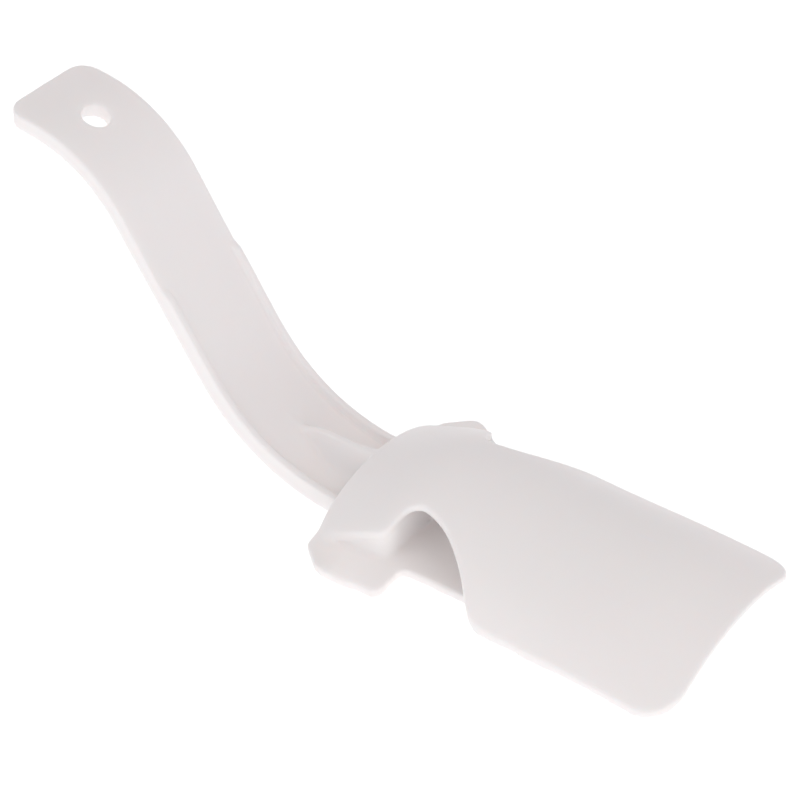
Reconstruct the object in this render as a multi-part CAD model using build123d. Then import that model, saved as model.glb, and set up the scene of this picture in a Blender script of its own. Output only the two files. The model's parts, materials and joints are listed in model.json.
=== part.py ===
from build123d import *

import os
from math import asin, cos, radians, sin

# A hands-free shoe horn, moulded in one piece. Millimetres, +Z up.
# +X runs from the handle to the tip of the plate and x = 0 is the plate's back edge.
# y = 0 is the plane of symmetry and z = 0 is the lowest edge of the ears.

# Thicknesses. The strap's goes from its joint with the saddle to its hanging end.
strap_joint_thickness = 2.8
strap_end_thickness = 4.0
sheet_thickness = 2.5
plate_thickness = 1.8
rib_width = 1.8
gusset_thickness = 2.0
wall_thickness = 2.2

# Handle strap: its side line leaves the saddle level and is followed backwards, up to the hanging end.
strap_width = 24.6
floor_z = 4.8
low_bend_radius = 41.5
high_bend_radius = 33.2
steep_lean = radians(57.2)
end_lean = radians(6.9)
straight_length = 39.3
end_length = 7.4
strap_corner_radius = 4.7
hole_radius = 3.5
hole_from_end = 15.0
strap_points = 15

# Gate mark on the middle of the hanging end, with half of its length inside the strap
gate_mark_size = (1.2, 2.0, 1.2)

# Raised edges of the strap, as heights above its upper face at their two ends
rib_ramp_run = 2.0
rib_start_run = 61.0
rib_start_height = 0.8
rib_foot_height = 2.2
rib_points = 7

# Centre gusset: where it rises from the strap, then its crest as x and height above the saddle's upper face
gusset_start_run = 20.5
gusset_start_height = 0.4
gusset_crest = [(-15.0, 6.8), (-9.5, 7.1), (0.0, 7.6)]

# Clip tongue, level at its root and slightly arched at its tip
tongue_root_x = 23.7
tongue_tip_x = 71.0
tongue_root_half_width = 19.3
tongue_tip_half_width = 17.5
tongue_corner_radius = 9.0
tongue_arch = 1.5
tongue_blank_x = (tongue_root_x - 1, tongue_tip_x + 1)
tongue_blank_half_width = tongue_root_half_width + 1

# Saddle and its ears, from the strap to the root of the tongue
ear_root_y = 18.5
ear_front_y = 27.0
saddle_outline = [
    (0, 0),
    (0, 15.0),
    (-0.8, 24.4),
    (6.9, 30.0),
    (14.0, ear_front_y),
    (20.0, 26.9),
    (20.9, tongue_root_half_width),
    (tongue_root_x, tongue_root_half_width),
]
saddle_corner_radii = [4.0, 3.2, 4.0, 3.0, 2.8, 2.0]
ear_drop = 2.2
ear_bend_start_x = 7.0
ear_bend_end_x = 14.5
saddle_blank_x = (-2, tongue_root_x + 1)
saddle_blank_half_width = 31.5

# Bridge wall, U-shaped in plan and open to the back, just inside the plate's edge
wall_front_x = 17.3
wall_back_half_width = 21.4
wall_front_half_width = 19.3
wall_corner_radius = 4.0

# Heel plate: stations of x, arch radius and crown height, then the outline's three stretches
plate_stations = [
    (-1.5, 36.0, 12.1),
    (8.0, 35.5, 16.0),
    (17.0, 35.0, 18.9),
    (26.0, 34.5, 19.5),
    (46.0, 36.0, 18.0),
    (68.0, 43.0, 15.5),
    (90.0, 50.3, 12.7),
]
plate_blank_half_width = 29.0
plate_points_along = 19
plate_points_across = 13
plate_tip_x = 87.9
plate_tip_half_width = 26.9
plate_tip_corner_radius = 7.5
plate_neck = [(0, 0), (0, 22.4), (16.9, 20.1), (19.2, 11.9), (24.5, 13.3)]
plate_neck_radii = [2.0, 2.5, 3.5]
plate_shoulder = [(24.5, 13.3), (31.5, 16.8), (36.4, 20.8), (40.3, 24.6), (45.5, 26.4)]

# Points that the bent sheets' upper faces are drawn through
sheet_points_along = 19
sheet_points_across = 33

# Tall enough for a prism to pass through any part
prism_height = 40.0

low_bend_run = low_bend_radius * steep_lean
high_bend_run = high_bend_radius * (steep_lean - end_lean)
strap_run = low_bend_run + straight_length + high_bend_run + end_length


def clamp(value, low, high):
    return max(low, min(high, value))


def strap_point(run, height):
    """A point of the strap's side line, at a run along its upper face from x = 0 and a height above it."""
    level = min(run, 0)
    low_turn = clamp(run, 0, low_bend_run) / low_bend_radius
    straight = clamp(run - low_bend_run, 0, straight_length)
    high_turn = clamp(run - low_bend_run - straight_length, 0, high_bend_run) / high_bend_radius
    end = max(0, run - low_bend_run - straight_length - high_bend_run)
    lean = low_turn - high_turn
    x = -level - low_bend_radius * sin(low_turn) - straight * cos(steep_lean)
    x -= high_bend_radius * (sin(steep_lean) - sin(steep_lean - high_turn)) + end * cos(end_lean)
    z = floor_z + low_bend_radius * (1 - cos(low_turn)) + straight * sin(steep_lean)
    z += high_bend_radius * (cos(steep_lean - high_turn) - cos(steep_lean)) + end * sin(end_lean)
    return Vector(x + height * sin(lean), 0, z + height * cos(lean))


def strap_thickness(run):
    return strap_joint_thickness + (strap_end_thickness - strap_joint_thickness) * run / strap_run


def strap_upper_line():
    """The side line of the strap's upper face: bend, straight, bend and straight end."""
    stops = [0, low_bend_run, low_bend_run + straight_length, strap_run - end_length, strap_run]
    low, lower, upper, high, end = [strap_point(stop, 0) for stop in stops]
    low_middle = strap_point(low_bend_run / 2, 0)
    high_middle = strap_point(strap_run - end_length - high_bend_run / 2, 0)
    low_bend = ThreePointArc(low, low_middle, lower)
    high_bend = ThreePointArc(upper, high_middle, high)
    return [low_bend, Line(lower, upper), high_bend, Line(high, end)]


def strap_lower_line():
    runs = [strap_run * step / (strap_points - 1) for step in range(strap_points)]
    return Spline(*[strap_point(run, -strap_thickness(run)) for run in runs])


def both_sides(half_outline):
    """A face in the XY plane from the edges of its +Y half, which start and end on y = 0."""
    other_half = [mirror(edge, about=Plane.XZ) for edge in half_outline]
    return make_face(half_outline + other_half)


def prism(face):
    return extrude(face, amount=prism_height, both=True)


def make_handle_strap():
    upper = strap_upper_line()
    lower = strap_lower_line()
    joint_end = Line(upper[0] @ 0, lower @ 0)
    hanging_end = Line(upper[-1] @ 1, lower @ 1)
    strap = extrude(make_face(upper + [lower, joint_end, hanging_end]), amount=strap_width / 2, both=True)
    end_edges = strap.faces().sort_by(Axis.X)[0].edges()
    strap = fillet(end_edges.sort_by(SortBy.LENGTH)[:2], strap_corner_radius)
    strap += strap_plane(strap_run) * Box(*gate_mark_size)
    strap -= strap_plane(strap_run - hole_from_end) * Cylinder(hole_radius, prism_height)
    return strap


def strap_plane(run):
    """The plane of the strap at one run, halfway through its thickness, with its local X lengthwise."""
    lower = strap_point(run, -strap_thickness(run))
    upper = strap_point(run, 0)
    square = upper - lower
    return Plane(origin=(lower + upper) / 2, x_dir=Vector(0, 1, 0).cross(square), z_dir=square)


def make_edge_rib_blank(side):
    """A raised edge of the strap on one side, from a short ramp to its greatest height at the bridge wall."""
    foot_run = -wall_front_x
    runs = [rib_start_run * (1 - step / (rib_points - 1)) for step in range(rib_points)]
    growth = rib_foot_height - rib_start_height
    crest_points = [strap_point(run, rib_foot_height - growth * run / rib_start_run) for run in runs]
    crest_foot = strap_point(foot_run, rib_foot_height)
    crest = [Spline(*crest_points), Line(crest_points[-1], crest_foot)]
    floor_start = strap_point(rib_start_run + rib_ramp_run, 0)
    floor_line = [
        Line(floor_start, strap_point(low_bend_run, 0)),
        ThreePointArc(strap_point(low_bend_run, 0), strap_point(low_bend_run / 2, 0), strap_point(0, 0)),
        Line(strap_point(0, 0), strap_point(foot_run, 0)),
    ]
    ends = [Line(crest_points[0], floor_start), Line(crest_foot, strap_point(foot_run, 0))]
    rib = extrude(make_face(crest + floor_line + ends), amount=rib_width / 2, both=True)
    return Pos(0, side * (strap_width - rib_width) / 2, 0) * rib


def make_centre_gusset_blank():
    """The web, run up through the plate as a tall blank that is cut to the plate's lower face."""
    start = strap_point(gusset_start_run, gusset_start_height)
    crest_points = [start] + [Vector(x, 0, floor_z + height) for x, height in gusset_crest]
    corners = [
        crest_points[-1],
        Vector(wall_front_x, 0, floor_z + prism_height),
        Vector(wall_front_x, 0, floor_z),
        strap_point(0, 0),
    ]
    floor = ThreePointArc(corners[-1], strap_point(gusset_start_run / 2, 0), strap_point(gusset_start_run, 0))
    step = Line(floor @ 1, start)
    outline = [Spline(*crest_points), *Polyline(*corners).edges(), floor, step]
    return extrude(make_face(outline), amount=gusset_thickness / 2, both=True)


def ease(value):
    """Goes smoothly from 0 to 1 as the value does."""
    inside = clamp(value, 0, 1)
    return inside * inside * (3 - 2 * inside)


def saddle_height(x, y):
    """Height of the saddle's upper face, level in the middle and bent down at the front of the ears."""
    along = ease((x - ear_bend_start_x) / (ear_bend_end_x - ear_bend_start_x))
    across = max(0, abs(y) - ear_root_y) / (ear_front_y - ear_root_y)
    return floor_z - ear_drop * along * across * across


def bent_sheet(height, range_x, half_width):
    """A blank of the sheet whose upper face is at height(x, y)."""
    step_x = (range_x[1] - range_x[0]) / (sheet_points_along - 1)
    step_y = 2 * half_width / (sheet_points_across - 1)
    along = [range_x[0] + step_x * step for step in range(sheet_points_along)]
    across = [step_y * step - half_width for step in range(sheet_points_across)]
    rows = [[Vector(x, y, height(x, y)) for y in across] for x in along]
    upper_face = Face.make_surface_from_array_of_points(rows)
    return extrude(upper_face, amount=sheet_thickness, dir=(0, 0, -1))


def make_saddle():
    outline = FilletPolyline(*saddle_outline, radius=saddle_corner_radii)
    front = Line(saddle_outline[-1], (tongue_root_x, 0))
    blank = bent_sheet(saddle_height, saddle_blank_x, saddle_blank_half_width)
    return blank & prism(both_sides(outline.edges() + [front]))


def wall_half_outline(back_x, inset):
    """The +Y half of the wall's outline in plan, from its outer face at inset 0 inwards."""
    front_x = wall_front_x - inset
    corners = [
        (back_x, 0),
        (back_x, wall_back_half_width - inset),
        (front_x, wall_front_half_width - inset),
        (front_x, 0),
    ]
    return FilletPolyline(*corners, radius=[0, wall_corner_radius - inset]).edges()


def make_bridge_wall_blank():
    """The wall, run up through the plate as a tall blank that is cut to the plate's lower face."""
    outer = both_sides(wall_half_outline(0, 0))
    inner = both_sides(wall_half_outline(-wall_thickness, wall_thickness))
    return Pos(0, 0, floor_z) * extrude(outer - inner, amount=prism_height)


def tongue_height(x, y):
    along = ease((x - tongue_root_x) / (tongue_tip_x - tongue_root_x))
    return floor_z - tongue_arch * along * (y / tongue_tip_half_width) ** 2


def make_clip_tongue():
    corners = [
        (tongue_root_x, 0),
        (tongue_root_x, tongue_root_half_width),
        (tongue_tip_x, tongue_tip_half_width),
        (tongue_tip_x, 0),
    ]
    outline = FilletPolyline(*corners, radius=[0, tongue_corner_radius])
    blank = bent_sheet(tongue_height, tongue_blank_x, tongue_blank_half_width)
    return blank & prism(both_sides(outline.edges()))


def plate_row(station):
    """Points across the plate's upper face at one station: x, arch radius and crown height."""
    x, radius, crown = station
    reach = asin(plate_blank_half_width / radius)
    angles = [reach * (2 * step / (plate_points_across - 1) - 1) for step in range(plate_points_across)]
    return [Vector(x, radius * sin(angle), crown - radius + radius * cos(angle)) for angle in angles]


def make_heel_plate():
    spine = Spline(*plate_stations)
    rows = [plate_row(spine @ (step / (plate_points_along - 1))) for step in range(plate_points_along)]
    upper_face = Face.make_surface_from_array_of_points(rows)
    arch = thicken(upper_face, amount=-plate_thickness, normal_override=(0, 0, 1))
    neck = FilletPolyline(*plate_neck, radius=plate_neck_radii)
    tip_corners = [plate_shoulder[-1], (plate_tip_x, plate_tip_half_width), (plate_tip_x, 0)]
    tip = FilletPolyline(*tip_corners, radius=plate_tip_corner_radius)
    shoulder = Spline(*plate_shoulder, tangents=[neck % 1, tip % 0])
    return arch & prism(both_sides(neck.edges() + [shoulder] + tip.edges()))


saddle = make_saddle()
plate = make_heel_plate() - saddle
wall_blank = make_bridge_wall_blank()
wall = wall_blank - plate - saddle
gusset = make_centre_gusset_blank() - plate - saddle - wall_blank
left_rib = make_edge_rib_blank(1) - plate - saddle - wall_blank
right_rib = make_edge_rib_blank(-1) - plate - saddle - wall_blank

# Cutting a blank also leaves loose solids above the plate. The wall is the lowest solid of its blank.
# The gusset and ribs are the largest of theirs.
parts = {
    "handle_strap": make_handle_strap(),
    "edge_rib_left": left_rib.solids().sort_by(SortBy.VOLUME)[-1],
    "edge_rib_right": right_rib.solids().sort_by(SortBy.VOLUME)[-1],
    "centre_gusset": gusset.solids().sort_by(SortBy.VOLUME)[-1],
    "saddle": saddle,
    "bridge_wall": wall.solids().sort_by(Axis.Z)[0],
    "heel_plate": plate,
    "clip_tongue": make_clip_tongue(),
}

os.makedirs("parts", exist_ok=True)
for name, shape in parts.items():
    shape.label = name
    export_step(shape, f"parts/{name}.step")
    print(name, len(shape.solids()), shape.is_valid, round(shape.volume), shape.bounding_box())
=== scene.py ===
import json
import math

import bmesh
import bpy
import numpy as np
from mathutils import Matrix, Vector


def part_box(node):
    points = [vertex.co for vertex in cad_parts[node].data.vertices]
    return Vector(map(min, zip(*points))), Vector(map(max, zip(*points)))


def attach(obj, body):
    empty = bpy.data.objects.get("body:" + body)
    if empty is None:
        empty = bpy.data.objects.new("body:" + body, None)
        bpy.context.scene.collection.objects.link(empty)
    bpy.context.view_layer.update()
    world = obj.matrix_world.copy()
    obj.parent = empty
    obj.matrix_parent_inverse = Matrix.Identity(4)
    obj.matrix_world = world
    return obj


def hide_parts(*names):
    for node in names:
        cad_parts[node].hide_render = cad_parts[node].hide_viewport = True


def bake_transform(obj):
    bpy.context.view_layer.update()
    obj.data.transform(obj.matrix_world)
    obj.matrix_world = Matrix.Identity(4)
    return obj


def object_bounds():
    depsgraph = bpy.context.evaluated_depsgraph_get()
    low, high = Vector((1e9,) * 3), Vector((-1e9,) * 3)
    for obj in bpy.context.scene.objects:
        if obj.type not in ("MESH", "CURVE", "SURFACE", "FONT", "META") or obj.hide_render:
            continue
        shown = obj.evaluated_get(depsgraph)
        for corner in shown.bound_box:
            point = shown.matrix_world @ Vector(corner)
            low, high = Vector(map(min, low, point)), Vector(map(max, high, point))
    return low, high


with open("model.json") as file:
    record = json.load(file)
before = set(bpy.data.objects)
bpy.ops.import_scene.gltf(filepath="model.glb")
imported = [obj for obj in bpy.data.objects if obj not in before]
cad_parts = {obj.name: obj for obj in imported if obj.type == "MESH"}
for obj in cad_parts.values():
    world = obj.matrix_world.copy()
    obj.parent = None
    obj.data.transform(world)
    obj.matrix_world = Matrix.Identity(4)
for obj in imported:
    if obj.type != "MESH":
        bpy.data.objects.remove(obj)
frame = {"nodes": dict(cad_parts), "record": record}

# A hands-free shoe horn, moulded in one piece of white plastic. Metres, in the row frame.
# The moulding's features are joined into one skin, whose edges and inner corners are rounded.
# The tongue is cut from that skin at its root.

cad_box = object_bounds()
box_low, box_high = cad_box
box_centre = (box_low + box_high) / 2

MM = 0.001
MOULDING_NODES = frame["record"]["behaviour"]["bodies"]["moulding"]
TONGUE_NODES = frame["record"]["behaviour"]["bodies"]["tongue"]
tongue_low, tongue_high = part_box("clip_tongue")
_, saddle_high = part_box("saddle")

# Skin
voxel_size = 0.25 * MM
smooth_rounds = 15
smooth_step = 0.5

# Lines that are rounded more, in millimetres on the +Y side: start, end, reach and smoothing rounds.
# They are the plate's fold into an ear, the back corner of the ear and the edge of the gusset's foot.
rounded_lines = [
    ((3.5, 21.8, 4.8), (16.5, 20.0, 4.8), 5.0, 70),
    ((0.5, 23.0, 4.2), (0.5, 23.0, 4.2), 7.5, 120),
    ((-20.0, 1.5, 10.0), (-5.0, 6.5, 5.3), 4.5, 60),
]

# Gate mark in the middle of the hanging end, which is smoothed less
half_strap_end = 2.0 * MM
gate_place = (box_low.x, 0, box_high.z - half_strap_end)
gate_reach = 4 * MM
gate_protection = 0.95

# Smoothing widens the hanging hole's rim, which is drawn back in
hole_draw_in = 0.35 * MM
hole_reach = 3.0 * MM
hole_depth = 2 * hole_reach
hole_axis_margin = 1 * MM

# Gusset's foot on the strap's lower bend. The crest is x and height above the strap in millimetres.
low_bend_radius = 41.5 * MM
foot_lead = 4 * MM
foot_end_x = 4 * MM
foot_tip_half_width = 0.6 * MM
foot_spread = 7.8 * MM
foot_spread_rate = 1.15
foot_hollow = 1.5
foot_crest = [
    (-24, 0.1), (-20, 0.7), (-17.5, 2.4), (-15, 4.2), (-12, 5.3), (-8, 6.4), (0, 8.0), (4, 8.6),
]
foot_depth = 1.0 * MM
foot_rings = 25
foot_side_steps = 12

# Share of the moulding's faces that is kept, and how far from the tongue cut all are kept
faces_kept = 0.235
full_reach = 1.5 * MM
group_influence = 1000

# Tongue cut, where the bend starts. The plate lies above cut_top.
cut_x = tongue_low.x
cut_reach = 3 * voxel_size
cut_snap = 0.02 * voxel_size
cut_top = saddle_high.z + 3 * MM
tip_strip_half_width = 5 * MM
tip_margin = 1 * MM

# Plastic. A noise is its scale per metre, its detail and its roughness.
# A span is the range over which an effect grows.
cool_white = (0.97, 0.932, 0.926)
warm_white = (0.972, 0.942, 0.93)
handled_grey = (0.925, 0.89, 0.885)
worn_white = (0.96, 0.948, 0.96)
flow_noise, flow_span = (28, 3, 0.5), (0.35, 0.65)
patch_noise = (95, 6, 0.6)
handled_span, handled_amount = (0.56, 0.8), 0.22
worn_span, worn_amount = (0.52, 0.6), 0.55
satin_span, satin_roughness = (0.3, 0.7), (0.36, 0.47)
grain_noise, wave_noise, wave_to_grain = (2600, 2, 0.5), (60, 2, 0.5), 6
relief_strength, relief_depth = 0.12, 0.06 * MM
refraction = 1.49
sheen = 0.04
translucency = 0.4
scatter_reach = (1.0, 0.82, 0.76)
scatter_length = 1.8 * MM
opaque_reach, translucent_reach = 3.0 * MM, 9.0 * MM

# Floor, low enough for the tongue's tip to clear it when the tongue is bent down all the way
joints = frame["record"]["behaviour"]["joints"]
flex_joint = next(joint for joint in joints if joint["name"] == "tongue_flex")
tip_drop = (tongue_high.x - cut_x) * math.sin(math.radians(max(flex_joint["range_deg"])))
floor_size = 6.0
floor_level = min(box_low.z, tongue_low.z - tip_drop)
floor_colour = (0.93, 0.93, 0.93)
floor_roughness = 0.9
floor_specular = 0.1
floor_glow_colour = (1, 1, 1)
floor_glow = 0.42

# Light: a soft room that is brighter overhead, area lights, and a floor that glows like a light table.
# A light is its name, azimuth and elevation in degrees, size in metres, power in watts and colour.
horizon_light = (0.47, 0.475, 0.52)
overhead_light = (0.675, 0.648, 0.643)
overhead_start = 0.75
room_strength = 1.0
light_distance = 1.1
lights = [
    ("key", -30, 40, 0.8, 1.1, (1.0, 0.985, 0.97)),
    ("low", 65, 6, 0.5, 1.7, (1.0, 0.98, 0.96)),
    ("top", 120, 75, 0.9, 0.6, (1.0, 0.98, 0.99)),
]

# Camera
camera_azimuth = 35.616
camera_elevation = 38.62
camera_distance = 0.53119
camera_lens = 106.76
camera_sensor_width = 36
camera_clip_start, camera_clip_end = 0.05, 20
camera_aim = box_centre + Vector((-0.01131, 0.02505, -0.03143))


def joined_copy(name, nodes):
    """One new mesh object with the CAD meshes of several nodes."""
    mesh = bpy.data.meshes.new(name)
    joined = bmesh.new()
    for node in nodes:
        joined.from_mesh(frame["nodes"][node].data)
    bmesh.ops.triangulate(joined, faces=joined.faces)
    joined.to_mesh(mesh)
    joined.free()
    piece = bpy.data.objects.new(name, mesh)
    bpy.context.scene.collection.objects.link(piece)
    return piece


def ease(value):
    """Goes smoothly from 0 to 1 as the value does."""
    inside = np.clip(value, 0, 1)
    return inside * inside * (3 - 2 * inside)


def strap_floor(x):
    """Height of the strap's upper face over its lower bend."""
    back = min(max(-x, 0), low_bend_radius)
    return saddle_high.z + low_bend_radius - math.sqrt(low_bend_radius ** 2 - back ** 2)


def foot_rise(x):
    """Height of the foot's crest above the strap."""
    places, rises = zip(*foot_crest)
    return float(np.interp(x / MM, places, rises)) * MM


def gusset_foot():
    """Rings across the gusset's foot, which spreads with hollow flanks as it nears the plate."""
    gusset_low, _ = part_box("centre_gusset")
    start_x = gusset_low.x - foot_lead
    rings = []
    for step in range(foot_rings):
        along = step / (foot_rings - 1)
        x = start_x + (foot_end_x - start_x) * along
        spread = foot_spread * ease(along * foot_spread_rate) + foot_tip_half_width
        height = foot_rise(x)
        base = strap_floor(x)
        ring = []
        for side_step in range(-foot_side_steps, foot_side_steps + 1):
            across = side_step / foot_side_steps
            ring.append((x, spread * across, base + height * (1 - ease(abs(across))) ** foot_hollow))
        ring.append((x, spread, base - foot_depth))
        ring.append((x, -spread, base - foot_depth))
        rings.append(ring)
    return rings


def add_sections(piece, sections):
    """Adds a closed solid to the piece's mesh, lofted through rings of points."""
    solid = bmesh.new()
    solid.from_mesh(piece.data)
    rings = [[solid.verts.new(point) for point in ring] for ring in sections]
    for before, after in zip(rings, rings[1:]):
        for index, vertex in enumerate(before):
            following = (index + 1) % len(before)
            solid.faces.new((vertex, before[following], after[following], after[index]))
    solid.faces.new(rings[0][::-1])
    solid.faces.new(rings[-1])
    bmesh.ops.recalc_face_normals(solid, faces=solid.faces)
    bmesh.ops.triangulate(solid, faces=solid.faces)
    solid.to_mesh(piece.data)
    solid.free()


def apply_modifiers(piece):
    depsgraph = bpy.context.evaluated_depsgraph_get()
    final = bpy.data.meshes.new_from_object(piece.evaluated_get(depsgraph))
    piece.modifiers.clear()
    piece.data = final


def voxel_skin(piece, size):
    """Turns meshes that touch or overlap into the one skin around them."""
    remesh = piece.modifiers.new("skin", "REMESH")
    remesh.mode = "VOXEL"
    remesh.voxel_size = size
    remesh.adaptivity = 0
    apply_modifiers(piece)


def connected(start):
    found = {start}
    front = [start]
    while front:
        vertex = front.pop()
        for edge in vertex.link_edges:
            other = edge.other_vert(vertex)
            if other not in found:
                found.add(other)
                front.append(other)
    return found


def keep_largest_island(mesh_data):
    """Deletes everything but the largest connected part."""
    skin = bmesh.new()
    skin.from_mesh(mesh_data)
    left = set(skin.verts)
    islands = []
    while left:
        island = connected(next(iter(left)))
        left -= island
        islands.append(island)
    islands.sort(key=len)
    for island in islands[:-1]:
        bmesh.ops.delete(skin, geom=list(island), context="VERTS")
    skin.to_mesh(mesh_data)
    skin.free()


def read_places(mesh_data):
    places = np.empty(3 * len(mesh_data.vertices))
    mesh_data.vertices.foreach_get("co", places)
    return places.reshape(-1, 3)


def nearness(places, start, end, reach):
    """1 on a line and on its mirror image across y = 0, falling smoothly to 0 at the reach."""
    mirrored = places.copy()
    mirrored[:, 1] = np.abs(places[:, 1])
    offset = mirrored - np.array(start)
    length = np.subtract(end, start)
    square = length @ length
    along = np.clip(offset @ length / square, 0, 1) if square > 0 else np.zeros(len(places))
    away = np.linalg.norm(offset - along[:, None] * length, axis=1)
    return ease(1 - away / reach)[:, None]


def smooth(mesh_data, rounds, step):
    """Moves each vertex towards the mean of its neighbours, by a step given for each vertex."""
    ends = np.empty(2 * len(mesh_data.edges), int)
    mesh_data.edges.foreach_get("vertices", ends)
    ends = ends.reshape(-1, 2)
    moving = step[:, 0] > 0
    used, ends = np.unique(ends[moving[ends].any(axis=1)], return_inverse=True)
    a, b = ends.reshape(-1, 2).T
    count = len(used)
    valence = np.bincount(a, minlength=count) + np.bincount(b, minlength=count)
    places = read_places(mesh_data)
    near = places[used]
    for _ in range(rounds):
        total = np.zeros((count, 3))
        for axis in range(3):
            total[:, axis] += np.bincount(a, near[b, axis], count)
            total[:, axis] += np.bincount(b, near[a, axis], count)
        near += step[used] * (total / valence[:, None] - near)
    places[used] = near
    mesh_data.vertices.foreach_set("co", places.ravel())
    mesh_data.update()


def draw_hole_in(mesh_data):
    """Moves the skin around the hanging hole towards the hole's axis, less so further away."""
    hole = next(mount for mount in frame["record"]["mounts"] if mount["name"] == "hanging_hole")
    places = read_places(mesh_data)
    axis = np.array(hole["axis"])
    offset = places - np.array(hole["pos_m"])
    along = (offset @ axis)[:, None]
    outward = offset - along * axis
    away = np.linalg.norm(outward, axis=1)[:, None]
    near = ease(1 - (away - hole["dims"]["r_mm"] * MM) / hole_reach) * (np.abs(along) < hole_depth)
    # The margin keeps the direction finite for a point on the axis
    places -= hole_draw_in * near * outward / np.maximum(away, hole_axis_margin)
    mesh_data.vertices.foreach_set("co", places.ravel())


def near_cut(face):
    centre = face.calc_center_median()
    return abs(centre.x - cut_x) < cut_reach and centre.z < cut_top


def in_tip_strip(vertex):
    place = vertex.co
    below_plate = place.z < cut_top
    before_tip = place.x < tongue_high.x + tip_margin
    return below_plate and before_tip and abs(place.y) < tip_strip_half_width


def keep_part(skin, wanted):
    skin.verts.index_update()
    unwanted = [vertex for vertex in skin.verts if not wanted(vertex)]
    bmesh.ops.delete(skin, geom=unwanted, context="VERTS")


def close_cut(skin):
    """Fills the open end flat, with a sharp edge around it."""
    for face in skin.faces:
        face.smooth = True
    border = [edge for edge in skin.edges if edge.is_boundary]
    filled = bmesh.ops.holes_fill(skin, edges=border, sides=0)
    for face in filled["faces"]:
        face.smooth = False
    for edge in border:
        edge.smooth = False
    bmesh.ops.recalc_face_normals(skin, faces=skin.faces)


def split_tongue(whole):
    """Cuts the tongue off at its root, closes both cuts and returns it as a new object."""
    skin = bmesh.new()
    skin.from_mesh(whole.data)
    faces = [face for face in skin.faces if near_cut(face)]
    edges = list({edge for face in faces for edge in face.edges})
    vertices = list({vertex for face in faces for vertex in face.verts})
    result = bmesh.ops.bisect_plane(
        skin, geom=vertices + edges + faces, plane_co=(cut_x, 0, 0), plane_no=(1, 0, 0), dist=cut_snap
    )
    ring = [item for item in result["geom_cut"] if isinstance(item, bmesh.types.BMEdge)]
    bmesh.ops.split_edges(skin, edges=ring)
    skin.verts.ensure_lookup_table()
    tip = max(filter(in_tip_strip, skin.verts), key=lambda vertex: vertex.co.x)
    tongue_vertices = connected(tip)
    other = skin.copy()
    indices = {vertex.index for vertex in tongue_vertices}
    keep_part(skin, lambda vertex: vertex.index not in indices)
    keep_part(other, lambda vertex: vertex.index in indices)
    close_cut(skin)
    close_cut(other)
    skin.to_mesh(whole.data)
    tongue_mesh = bpy.data.meshes.new("tongue_skin")
    other.to_mesh(tongue_mesh)
    skin.free()
    other.free()
    cut_off = bpy.data.objects.new("tongue_skin", tongue_mesh)
    bpy.context.scene.collection.objects.link(cut_off)
    return cut_off


def thin_out(piece, share):
    """Merges faces where the skin is nearly flat, but not beside the tongue cut."""
    places = read_places(piece.data)
    away = (np.abs(places[:, 0] - cut_x) > full_reach) | (places[:, 2] > cut_top)
    group = piece.vertex_groups.new(name="away_from_cut")
    group.add(np.flatnonzero(away).tolist(), 1, "REPLACE")
    thin = piece.modifiers.new("thin_out", "DECIMATE")
    thin.ratio = share
    thin.vertex_group = group.name
    thin.vertex_group_factor = group_influence
    apply_modifiers(piece)
    piece.vertex_groups.clear()


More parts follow.
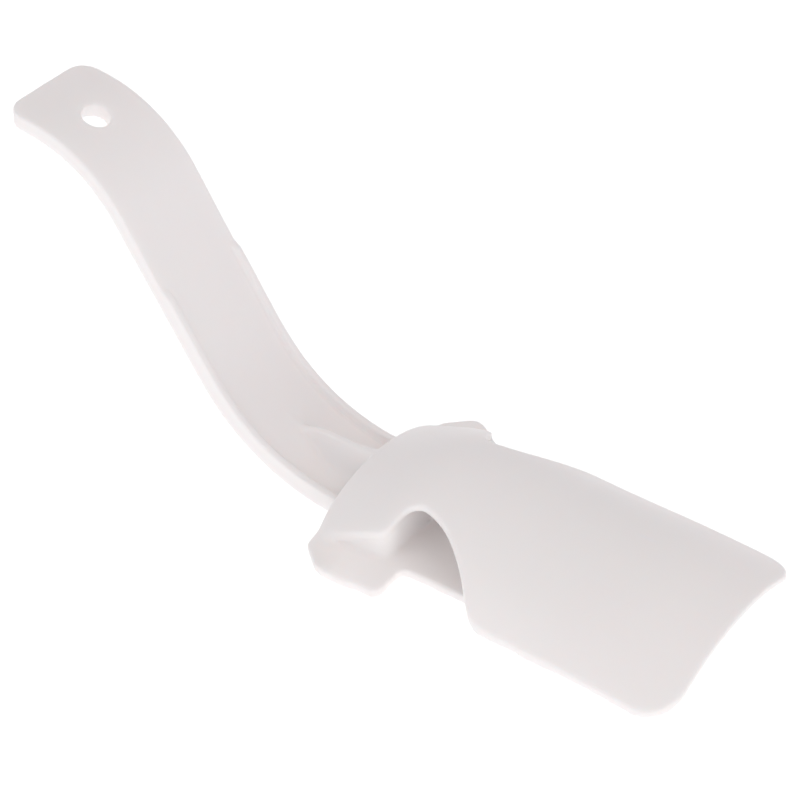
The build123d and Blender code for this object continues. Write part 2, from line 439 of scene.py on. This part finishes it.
def plastic():
    """White injection-moulded plastic, satin and slightly translucent."""
    material = bpy.data.materials.new("white_plastic_satin")
    material.use_nodes = True
    nodes = material.node_tree.nodes
    links = material.node_tree.links
    shader = nodes["Principled BSDF"]
    place = nodes.new("ShaderNodeTexCoord")

    def noise(scale, detail, roughness):
        node = nodes.new("ShaderNodeTexNoise")
        node.inputs["Scale"].default_value = scale
        node.inputs["Detail"].default_value = detail
        node.inputs["Roughness"].default_value = roughness
        links.new(place.outputs["Object"], node.inputs["Vector"])
        return node.outputs["Fac"]

    def ramp(source, span, results):
        node = nodes.new("ShaderNodeMapRange")
        node.inputs["From Min"].default_value, node.inputs["From Max"].default_value = span
        node.inputs["To Min"].default_value, node.inputs["To Max"].default_value = results
        links.new(source, node.inputs["Value"])
        return node.outputs["Result"]

    def mix(factor, a, b):
        node = nodes.new("ShaderNodeMix")
        node.data_type = "RGBA"
        links.new(factor, node.inputs["Factor"])
        for socket, value in ((node.inputs["A"], a), (node.inputs["B"], b)):
            if isinstance(value, tuple):
                socket.default_value = (*value, 1)
            else:
                links.new(value, socket)
        return node.outputs["Result"]

    # Slow drift between the cooler and the warmer white, where the melt flowed
    flow = noise(*flow_noise)
    base = mix(ramp(flow, flow_span, (0, 1)), cool_white, warm_white)
    # Faint greying from handling, in patches
    patch = noise(*patch_noise)
    base = mix(ramp(patch, handled_span, (0, handled_amount)), base, handled_grey)
    # Edges are a little paler, from wear
    geometry = nodes.new("ShaderNodeNewGeometry")
    worn = ramp(geometry.outputs["Pointiness"], worn_span, (0, worn_amount))
    base = mix(worn, base, worn_white)
    links.new(base, shader.inputs["Base Color"])

    # Satin finish, a little rougher in patches
    links.new(ramp(patch, satin_span, satin_roughness), shader.inputs["Roughness"])

    # Fine moulded grain over a very slight unevenness
    grain = noise(*grain_noise)
    wave = noise(*wave_noise)
    heights = nodes.new("ShaderNodeMath")
    heights.operation = "MULTIPLY_ADD"
    heights.inputs[1].default_value = wave_to_grain
    links.new(wave, heights.inputs[0])
    links.new(grain, heights.inputs[2])
    bump = nodes.new("ShaderNodeBump")
    bump.inputs["Strength"].default_value = relief_strength
    bump.inputs["Distance"].default_value = relief_depth
    links.new(heights.outputs["Value"], bump.inputs["Height"])
    links.new(bump.outputs["Normal"], shader.inputs["Normal"])

    # Light passes through the thin plastic, but not beside the tongue's root, where two skins meet
    level = nodes.new("ShaderNodeVectorMath")
    level.operation = "MULTIPLY"
    level.inputs[1].default_value = (1, 0, 1)
    links.new(place.outputs["Object"], level.inputs[0])
    from_root = nodes.new("ShaderNodeVectorMath")
    from_root.operation = "DISTANCE"
    from_root.inputs[1].default_value = (cut_x, 0, (tongue_low.z + tongue_high.z) / 2)
    links.new(level.outputs["Vector"], from_root.inputs[0])
    glow = ramp(from_root.outputs["Value"], (opaque_reach, translucent_reach), (0, translucency))
    links.new(glow, shader.inputs["Subsurface Weight"])
    shader.inputs["Subsurface Radius"].default_value = scatter_reach
    shader.inputs["Subsurface Scale"].default_value = scatter_length
    shader.inputs["IOR"].default_value = refraction
    shader.inputs["Sheen Weight"].default_value = sheen
    return material


def make_floor():
    half = floor_size / 2
    corners = [(-half, -half), (half, -half), (half, half), (-half, half)]
    mesh = bpy.data.meshes.new("floor")
    mesh.from_pydata([(x, y, floor_level) for x, y in corners], [], [(0, 1, 2, 3)])
    material = bpy.data.materials.new("floor_white")
    material.use_nodes = True
    shader = material.node_tree.nodes["Principled BSDF"]
    shader.inputs["Base Color"].default_value = (*floor_colour, 1)
    shader.inputs["Roughness"].default_value = floor_roughness
    shader.inputs["Specular IOR Level"].default_value = floor_specular
    shader.inputs["Emission Color"].default_value = (*floor_glow_colour, 1)
    shader.inputs["Emission Strength"].default_value = floor_glow
    mesh.materials.append(material)
    plane = bpy.data.objects.new("floor", mesh)
    bpy.context.scene.collection.objects.link(plane)
    return plane


def make_world():
    """A room whose light changes from the horizon's to the overhead one with height."""
    world = bpy.data.worlds.new("studio")
    bpy.context.scene.world = world
    world.use_nodes = True
    nodes = world.node_tree.nodes
    links = world.node_tree.links
    direction = nodes.new("ShaderNodeTexCoord")
    height = nodes.new("ShaderNodeSeparateXYZ")
    links.new(direction.outputs["Generated"], height.inputs["Vector"])
    sky = nodes.new("ShaderNodeValToRGB")
    horizon, overhead = sky.color_ramp.elements
    horizon.position, horizon.color = 0.0, (*horizon_light, 1)
    overhead.position, overhead.color = overhead_start, (*overhead_light, 1)
    links.new(height.outputs["Z"], sky.inputs["Fac"])
    links.new(sky.outputs["Color"], nodes["Background"].inputs["Color"])
    nodes["Background"].inputs["Strength"].default_value = room_strength


def place_facing(item, target, azimuth, elevation, distance):
    """Adds a light or camera that looks at the target from one direction, given in degrees."""
    turn, rise = math.radians(azimuth), math.radians(elevation)
    back = Vector((math.sin(turn) * math.cos(rise), -math.cos(turn) * math.cos(rise), math.sin(rise)))
    item.location = target + back * distance
    item.rotation_mode = "QUATERNION"
    item.rotation_quaternion = (-back).to_track_quat("-Z", "Y")
    bpy.context.scene.collection.objects.link(item)


def add_light(name, azimuth, elevation, size, power, colour):
    data = bpy.data.lights.new(name, "AREA")
    data.shape = "DISK"
    data.size = size
    data.energy = power
    data.color = colour
    place_facing(bpy.data.objects.new(name, data), box_centre, azimuth, elevation, light_distance)


# Skins of the moulding and its tongue
moulding = joined_copy("moulding_skin", MOULDING_NODES + TONGUE_NODES)
add_sections(moulding, gusset_foot())
voxel_skin(moulding, voxel_size)
keep_largest_island(moulding.data)
gate_nearness = nearness(read_places(moulding.data), gate_place, gate_place, gate_reach)
smooth(moulding.data, smooth_rounds, smooth_step * (1 - gate_protection * gate_nearness))
for start, end, reach, rounds in rounded_lines:
    near = nearness(read_places(moulding.data), np.array(start) * MM, np.array(end) * MM, reach * MM)
    smooth(moulding.data, rounds, smooth_step * near)
draw_hole_in(moulding.data)
tongue = split_tongue(moulding)
thin_out(moulding, faces_kept)

white = plastic()
for piece in (moulding, tongue):
    piece.data.materials.clear()
    piece.data.materials.append(white)
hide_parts(*MOULDING_NODES)
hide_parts(*TONGUE_NODES)
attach(moulding, "moulding")
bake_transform(tongue)

# Stage
floor = make_floor()
make_world()
for light in lights:
    add_light(*light)
bpy.context.scene.view_settings.view_transform = "Standard"

camera_data = bpy.data.cameras.new("camera")
camera_data.lens = camera_lens
camera_data.sensor_width = camera_sensor_width
camera_data.clip_start = camera_clip_start
camera_data.clip_end = camera_clip_end
camera = bpy.data.objects.new("camera", camera_data)
place_facing(camera, camera_aim, camera_azimuth, camera_elevation, camera_distance)
bpy.context.scene.camera = camera
